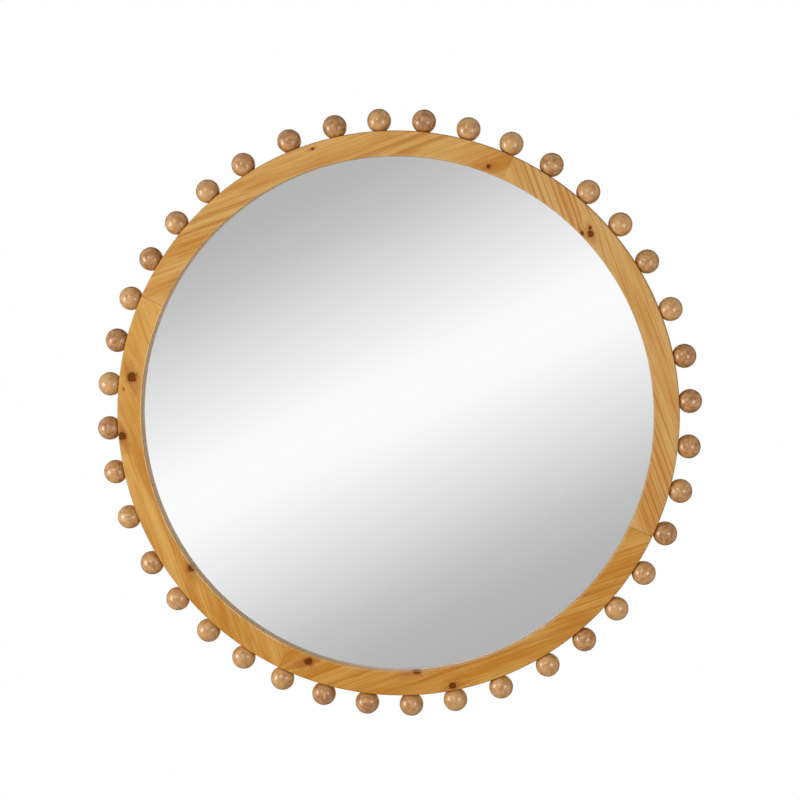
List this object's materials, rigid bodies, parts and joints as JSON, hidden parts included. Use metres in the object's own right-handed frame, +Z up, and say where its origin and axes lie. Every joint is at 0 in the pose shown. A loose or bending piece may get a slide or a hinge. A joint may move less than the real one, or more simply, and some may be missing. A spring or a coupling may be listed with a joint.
{
  "type": "accent mirror",
  "caption": "Round wall mirror in a laminated pine ring with turned balls around its rim, hung by two wire rings on strap hangers.",
  "frame": {"origin": "on the wall plane, behind the middle of the glass", "axes": "+Z up, -Y out of the glass towards the viewer, +Y into the wall, +X to the viewer's right"},
  "size_m": [0.812, 0.0343, 0.812],
  "materials": {
    "face_pine": "honey pine under satin varnish",
    "rear_pine": "honey pine under satin varnish",
    "ball_wood": "turned wood under semi-gloss varnish",
    "mirror_glass": "silvered float glass",
    "backing_board": "bare hardboard",
    "zinc_steel": "zinc plated",
    "screw_steel": "yellow zinc plated",
    "pad_rubber": "black rubber"
  },
  "bodies": {
    "mirror": {"face_segment_top": "face_pine", "face_segment_left": "face_pine", "face_segment_bottom": "face_pine", "face_segment_right": "face_pine", "rear_segment_top": "rear_pine", "rear_segment_left": "rear_pine", "rear_segment_bottom": "rear_pine", "rear_segment_right": "rear_pine", "ball_top_01": "ball_wood", "ball_top_02": "ball_wood", "ball_top_03": "ball_wood", "ball_top_04": "ball_wood", "ball_top_05": "ball_wood", "ball_top_06": "ball_wood", "ball_top_07": "ball_wood", "ball_top_08": "ball_wood", "ball_top_09": "ball_wood", "ball_top_10": "ball_wood", "ball_left_01": "ball_wood", "ball_left_02": "ball_wood", "ball_left_03": "ball_wood", "ball_left_04": "ball_wood", "ball_left_05": "ball_wood", "ball_left_06": "ball_wood", "ball_left_07": "ball_wood", "ball_left_08": "ball_wood", "ball_left_09": "ball_wood", "ball_left_10": "ball_wood", "ball_bottom_01": "ball_wood", "ball_bottom_02": "ball_wood", "ball_bottom_03": "ball_wood", "ball_bottom_04": "ball_wood", "ball_bottom_05": "ball_wood", "ball_bottom_06": "ball_wood", "ball_bottom_07": "ball_wood", "ball_bottom_08": "ball_wood", "ball_bottom_09": "ball_wood", "ball_bottom_10": "ball_wood", "ball_right_01": "ball_wood", "ball_right_02": "ball_wood", "ball_right_03": "ball_wood", "ball_right_04": "ball_wood", "ball_right_05": "ball_wood", "ball_right_06": "ball_wood", "ball_right_07": "ball_wood", "ball_right_08": "ball_wood", "ball_right_09": "ball_wood", "ball_right_10": "ball_wood", "mirror_glass": "mirror_glass", "backing_board": "backing_board", "glazing_points": "zinc_steel", "hanger_strap_left": "zinc_steel", "hanger_strap_right": "zinc_steel", "hanger_screws": "screw_steel", "wall_pads": "pad_rubber"},
    "ring_left": {"hanger_ring_left": "zinc_steel"},
    "ring_right": {"hanger_ring_right": "zinc_steel"}
  },
  "joints": [
    {"name": "ring_swing_left", "type": "hinge", "parent": "mirror", "child": "ring_left", "pos_m": [-0.34794, -0.00315, 0.10947], "axis": [1, 0, 0], "range_deg": [0, 183]},
    {"name": "ring_swing_right", "type": "hinge", "parent": "mirror", "child": "ring_right", "pos_m": [0.34794, -0.00315, 0.10947], "axis": [1, 0, 0], "range_deg": [0, 183]}
  ]
}
